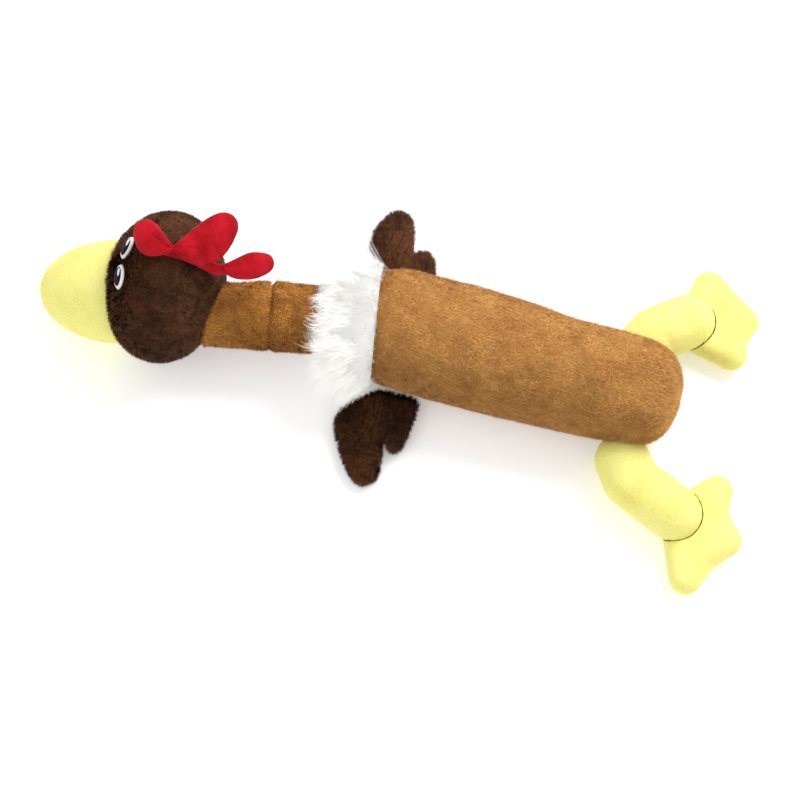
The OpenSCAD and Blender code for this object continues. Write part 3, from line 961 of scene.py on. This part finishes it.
# (angle in degrees from the top towards the left side, place along the neck, tufts, spread)
WISP_PLACES = [(-125, 42, 24, 20), (-85, 30, 52, 16), (-60, 34, 40, 14), (-30, 46, 24, 14),
               (5, 48, 24, 14), (35, 46, 32, 14), (60, 43, 52, 15), (85, 36, 100, 16),
               (104, 34, 92, 16), (160, 44, 20, 24)]
WISP_HAIRS = 15


def collar_wisps():
    """Long curved tufts that fall forward and down from the front edge of the fur."""
    random = np.random.default_rng(71)
    hairs = []
    for degrees, along, tufts, spread in WISP_PLACES:
        for _ in range(tufts):
            angle = math.radians(degrees + random.normal() * spread)
            at = along + random.normal() * 6
            radius = np.interp(at, [21, 31, 46.5, 57.7], [47, 45, 36.5, 30])
            base = neck_ring(at, angle, radius)
            out = unit(base - (NECK_PIVOT + at * REAR_AXIS))
            swing = unit(np.cross(REAR_AXIS, out)) * random.normal() * 0.45
            spray = math.sin(angle) ** 2
            length = 11 + (15 + 6 * spray) * random.random()
            rise = 0.15 + (0.35 + 0.75 * spray) * random.random()
            mid = base + (REAR_AXIS * 0.7 + out * rise + swing) * length * 0.55
            end = mid + (REAR_AXIS * (0.55 - 0.3 * spray)
                         + out * (0.6 * spray - 0.2) * random.random()
                         - swing * 1.2 - UP * 0.5 * random.random()) * length * 0.6
            tone = 0.45 + 0.5 * random.random()
            for _ in range(WISP_HAIRS):
                splay = random.normal(size=3)
                reach = 0.75 + 0.35 * random.random()
                hairs.append((
                    base + splay * 1.6,
                    base + (mid - base) * reach + splay * 1.7 + random.normal(size=3) * 0.9,
                    base + (end - base) * reach + splay * 1.3 + random.normal(size=3) * 1.6,
                    unit(out + UP * 0.5 + 0.2 * random.normal(size=3)),
                    tone + 0.3 * random.random(),
                    0.16 + 0.1 * random.random()))
    root, bend, tip, facing, shade, width = (np.array(column) for column in zip(*hairs))
    piece = strands("collar_wisps", root, bend, tip, facing, width, white_pile, shade, levels=6)
    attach(piece, "neck_rear")


# ---------- head and beak ----------

PILE_LAP = 1.5            # how far the head's pile runs in under the beak's edge
BEAK_COVERS = 8           # how far back the beak covers the head
NECK_LAP = 4              # how far the head's pile runs in over the neck's end
EYE_DEPTH = 14            # half size of the room of an eye, through the head's side
EYE_BARE = 0.8            # share of that room, squared, that has no pile


def make_head():
    radius, half = HEAD_R - PLUSH_PILE, HEAD_HALF_LEN - PLUSH_PILE
    turns = [math.pi * i / HEAD_STEPS for i in range(1, HEAD_STEPS)]
    profile = [(0, half), *((radius * math.sin(a), half * math.cos(a)) for a in turns), (0, -half)]
    points, faces = lathe(HEAD_C, np.array([1.0, 0, 0]), profile, 120)
    points = rumpled(points, faces, depth=1.2, size=30, seed=51)
    points = on_floor(points, PLUSH_REST)
    skin = stuffed("head", points, faces, brown_back, "head", "brown_plush", inset=2.0)
    eyes = [eye_place(n) for n in SIDES]

    def keep(place, normal):
        off_beak = place - BEAK_ROOT
        forward = off_beak @ BEAK_AXIS
        reach = np.linalg.norm(off_beak - np.outer(forward, BEAK_AXIS), axis=1)
        clear = ~((reach < BEAK_R - PILE_LAP) & (forward > -BEAK_COVERS))
        along, off = neck_along(place)
        clear &= ~((off < NECK_HEAD_R - NECK_LAP) & (along < NECK_LEN + 10))
        for start, end in COMB_BAND:
            near = nearest_on(place, start[:3], end[:3])
            clear &= np.linalg.norm(place - near, axis=1) > start[3] + 0.6
        for centre, _ in eyes:
            flat = (place - centre) / [EYE_HALF_WIDE, EYE_HALF_LONG, EYE_DEPTH]
            clear &= (flat ** 2).sum(1) > EYE_BARE
        return clear & thinned_below(place)

    def comb(place):
        return np.array([1.0, 0, -0.35]) + np.sign(place[:, 1:2]) * [0, 0.3, 0]

    pile("head_pile", skin, "head", brown_pile, comb, keep, density=2.3,
         length=3.4, width=0.46, seed=81, clump=3.2, pull=0.4, fuzz=0.24, contrast=0.8)


def make_beak():
    radius, length = BEAK_R - VELBOA_PILE, BEAK_LEN - VELBOA_PILE
    profile = [(0, -BEAK_TUCK), (BEAK_R * 0.6, -BEAK_TUCK), (radius - 2, -BEAK_TUCK + 1),
               (radius - 1, -BEAK_TUCK + 4), (radius - 0.4, -4)]
    profile += [(radius * math.cos(a), length * math.sin(a)) for a in np.radians(range(0, 90, 4))]
    profile.append((0, length))
    points, faces = lathe(BEAK_ROOT, BEAK_AXIS, profile, 96)
    points = rumpled(points, faces, depth=0.9, size=22, seed=91)
    points = on_floor(points, BEAK_REST)
    stuffed("beak", points, faces, velboa, "head", "yellow_velboa", inset=1.6)


# ---------- eyes ----------

EYE_HALF_LONG = 9.6       # across the head
EYE_HALF_WIDE = 5.1       # along it
EYE_TUCK = 0.9            # how far the edge of each pad goes in below its place


def eye_place(side):
    """The centre of an eye and the way it faces."""
    low, high = box_mm(f"{side}_eye_white")
    centre = (low + high) / 2
    return centre, unit((centre - HEAD_C) / [HEAD_HALF_LEN ** 2, HEAD_R ** 2, HEAD_R ** 2])


def oval_pad(name, centre, normal, wide, high, rise, material, slot, shift):
    """A padded oval patch whose edge curves down."""
    lean = np.array([0.08, 1.0, 0])
    across_head = unit(lean - (lean @ normal) * normal)
    along_head = np.cross(normal, across_head)
    around, rings = 48, 7
    middle = centre + shift[0] * across_head + shift[1] * along_head
    angle = np.arange(around) * 2 * math.pi / around
    points = [middle + normal * rise]
    for i in range(1, rings + 1):
        t = i / rings
        z = rise * math.sqrt(max(0, 1 - t ** 2.6)) - (EYE_TUCK if i == rings else 0)
        for a in angle:
            points.append(middle + t * (wide * math.cos(a) * across_head
                                        + high * math.sin(a) * along_head) + normal * z)
    points.append(middle - normal * EYE_TUCK)
    return object_from(name, *ring_skin(points, around), [material], "head", slot)


# Layers of an eye: name, the frame's name for it, thread, slot, distance out, shares of the eye's
# two sizes, rise in the middle, shift off the centre. The shine is a painted highlight on the
# black centre.
EYE_LAYERS = [("rim", "white", eye_white, "eye_white", 0, (1, 1), 1.3, (0, 0)),
              ("centre", "pupil", eye_black, "eye_black", 1.2, (0.82, 0.72), 1.0, (0, 0)),
              ("shine", "glint", painted_eye_glint, "eye_white", 2.0, (0.34, 0.2), 0.6, (3.0, -1.5))]


def make_eyes():
    for side in SIDES:
        centre, normal = eye_place(side)
        for name, node, thread, slot, out, (wide, high), rise, shift in EYE_LAYERS:
            pad = oval_pad(f"{side}_eye_{name}", centre + normal * out, normal,
                           EYE_HALF_LONG * wide, EYE_HALF_WIDE * high, rise, thread, slot, shift)
            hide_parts(f"{side}_eye_{node}")


# ---------- comb ----------

# Gathers that run out from the comb's two pinches, as (start, end, depth)
COMB_GATHERS = [((-279, 3, 132), (-262, 12, 134), 1.0), ((-279, 3, 132), (-258, 7, 130), 0.9),
                ((-281, 3, 132), (-291, 7, 136), 0.9), ((-237, 5, 114), (-246, 12, 122), 0.9),
                ((-235, 4, 113), (-222, 9, 114), 0.9)]


def gathered(points, faces):
    normals = normals_of(points, faces)
    for start, end, depth in COMB_GATHERS:
        near = nearest_on(points, np.array(start, float), np.array(end, float))
        off = np.linalg.norm((points - near)[:, :2], axis=1)
        dip = depth * np.exp(-(off / 1.3) ** 2) * np.clip(normals[:, 2] * 2, 0, 1)
        points = points - normals * dip[:, None]
    return points


def make_comb():
    lobes = []
    for outline in COMB_LOBES.values():
        *root, radius = outline[0]
        lobes.append([(np.array(root, float), radius - 0.6),
                      *puffed(outline, spread=1.08, thinner=1.8)])
    for ends in COMB_BAND:
        lobes.append([(at[:3], at[3]) for at in ends])
    points, faces = melted(lobes, voxel=0.9, smoothing=8)
    points = gathered(points, faces)
    points = rumpled(points, faces, depth=0.6, size=9, seed=101)
    stuffed("comb", points, faces, comb_knit, "head", "comb_red", inset=1.3)


# ---------- wings ----------

WING_SEAM = {LEFT: [(14, 4), (26, 24), (17, 58)], RIGHT: [(22, 8), (34, 28), (29, 50)]}
WING_SEAM_BARE = 0.55     # half width of the bare line along the seam


def wing_spot(s, ahead, out):
    return WING_HINGE[s] + np.array([-ahead, s * out, 0])


def make_wing(side, s):
    lobes = []
    radius = WING_R - PLUSH_PILE
    for outline in (WING_BIG[s], WING_SMALL[s]):
        roots = [(wing_spot(s, ahead, out), radius) for ahead, out in outline if out == 0]
        rim = [(*wing_spot(s, *p), radius) for p in outline]
        lobes.append(roots + puffed(rim, spread=1.07, thinner=1.0))
    points, faces = melted(lobes, voxel=1.5, smoothing=5)
    points = rumpled(points, faces, depth=0.8, size=16, seed=111)
    wing = f"{side}_wing"
    skin = stuffed(wing, points, faces, wing_back, wing, "brown_plush", inset=1.4)
    seam = [wing_spot(s, *p) for p in WING_SEAM[s]]

    def keep(place, normal):
        level = place * [1, 1, 0] + [0, 0, seam[0][2]]
        off = [np.linalg.norm((level - nearest_on(level, a, b))[:, :2], axis=1)
               for a, b in zip(seam, seam[1:])]
        return (np.minimum(*off) > WING_SEAM_BARE) | (normal[:, 2] < 0.3)

    pile(f"{wing}_pile", skin, wing, wing_pile, brushed_to((0.15, s, -0.1)), keep,
         density=3.0, length=4.4, width=0.42, seed=121 + s, clump=3.8, lean=0.6, contrast=0.9,
         fuzz=0.3)


# ---------- legs and feet ----------

ANKLE_SEAMS = (4, 10)     # rows of stitching round the end of each leg, beyond the ankle


def make_leg(side, s):
    bends = [[(HIP[s], LEG_R), (KNEE[s], LEG_R)], [(KNEE[s], LEG_R), (ANKLE[s], LEG_R)]]
    points, faces = melted(bends, voxel=1.4, smoothing=9)
    points = rumpled(points, faces, depth=0.4, size=18, seed=131)
    shin = unit(ANKLE[s] - KNEE[s])
    for place in ANKLE_SEAMS:
        points = grooved(points, ANKLE[s], shin, place, depth=0.45, wide=1.0)
    points = dented(points, faces, [(HIP[s] + [10, s * 14, 18], (5, 9, 14), 1.5),
                                    (HIP[s] + [22, s * 24, 20], (16, 8, 10), 0.9)])
    points = on_floor(points, LEG_REST)
    leg = f"{side}_leg"
    stuffed(leg, points, faces, velboa, leg, "yellow_velboa", inset=1.5)


def make_foot(side, s):
    def foot_ball(place):
        p = ANKLE[s] + place[0] * turned(place[1], s)
        return np.array([p[0], p[1], TOE_R]), TOE_R - VELBOA_PILE

    toe, web, heel = TOES[s], WEBS[s], HEELS[s]
    hulls = [[toe[0], web[0], heel[0]], [toe[1], *web, *heel], [toe[2], web[1], heel[1]]]
    points, faces = melted([[foot_ball(place) for place in hull] for hull in hulls],
                           voxel=1.5, smoothing=6)
    points = rumpled(points, faces, depth=0.7, size=14, seed=141)
    creases = [(ANKLE[s] + 27 * turned(a, s) + [0, 0, 5], (7, 7, 9), 1.6)
               for a in (web[0][1], web[1][1])]
    points = dented(points, faces, creases)
    points = on_floor(points, LEG_REST)
    points, faces = hollowed(points, faces, ANKLE[s], KNEE[s], LEG_R + CUP_CLEAR)
    foot = f"{side}_foot"
    stuffed(foot, points, faces, velboa, foot, "yellow_velboa", inset=1.6)


# ---------- squeaker ----------


def finish_squeaker():
    for part, look in {"base": plastic, "reed": brass, "bellows": plastic, "cap": plastic}.items():
        for held in frame["nodes"][f"squeaker_{part}"].material_slots:
            held.material = look


# ---------- stage ----------

FLOOR_HALF = 6000
FLOOR_GLOW = 0.22         # light that comes up through the table
SKY = 0.82
LIT = (-0.08, 0, 0.03)    # where the lamps point, in metres
AIM = Vector((-0.091, -0.0485, 0.046))
AZIMUTH, ELEVATION = math.radians(13), math.radians(73)
DISTANCE = 1.45


def make_camera():
    data = bpy.data.cameras.new("camera")
    data.lens = 85
    data.sensor_width = 36
    camera = linked("camera", data)
    back = Vector((math.sin(AZIMUTH) * math.cos(ELEVATION),
                   -math.cos(AZIMUTH) * math.cos(ELEVATION), math.sin(ELEVATION)))
    camera.location = AIM + DISTANCE * back
    camera.rotation_euler = (-back).to_track_quat("-Z", "Y").to_euler()
    bpy.context.scene.camera = camera


def lamp(name, place, size, power):
    data = bpy.data.lights.new(name, "AREA")
    data.shape = "DISK"
    data.size = size
    data.energy = power
    light = linked(name, data)
    light.location = place
    light.rotation_euler = (Vector(LIT) - Vector(place)).to_track_quat("-Z", "Y").to_euler()


def make_stage():
    """A pale matt light table with faint mottling under soft overhead light."""
    material, tree, bsdf = shader("floor")
    mottle = texture(tree, NOISE, 6, Detail=3.0)
    coloured(tree, bsdf, mottle, [(0.3, (0.94, 0.94, 0.94)), (0.7, (0.97, 0.97, 0.97))])
    put(bsdf, Roughness=0.9, Emission_Color=(1, 1, 1, 1), Emission_Strength=FLOOR_GLOW,
        Specular_IOR_Level=0.1)
    corners = FLOOR_HALF * np.array([(-1, -1, 0), (1, -1, 0), (1, 1, 0), (-1, 1, 0)])
    floor = object_from("floor", corners, [(0, 1, 2, 3)], [material])
    world = bpy.data.worlds.new("studio")
    world.use_nodes = True
    sky = world.node_tree.nodes["Background"]
    put(sky, Color=(1, 1, 1, 1), Strength=SKY)
    bpy.context.scene.world = world
    lamp("key", (0.5, 1.0, 1.3), size=0.9, power=22)
    lamp("fill", (-0.9, -0.9, 1.3), size=1.4, power=4)
    bpy.context.scene.view_settings.view_transform = "Standard"
    bpy.context.scene.view_settings.look = "None"


# ---------- everything ----------

make_camera()
make_stage()
make_body()
make_neck()
collar_fur(make_collar())
collar_wisps()
make_head()
make_beak()
make_eyes()
make_comb()
for side, s in SIDES.items():
    make_wing(side, s)
    make_leg(side, s)
    make_foot(side, s)
finish_squeaker()
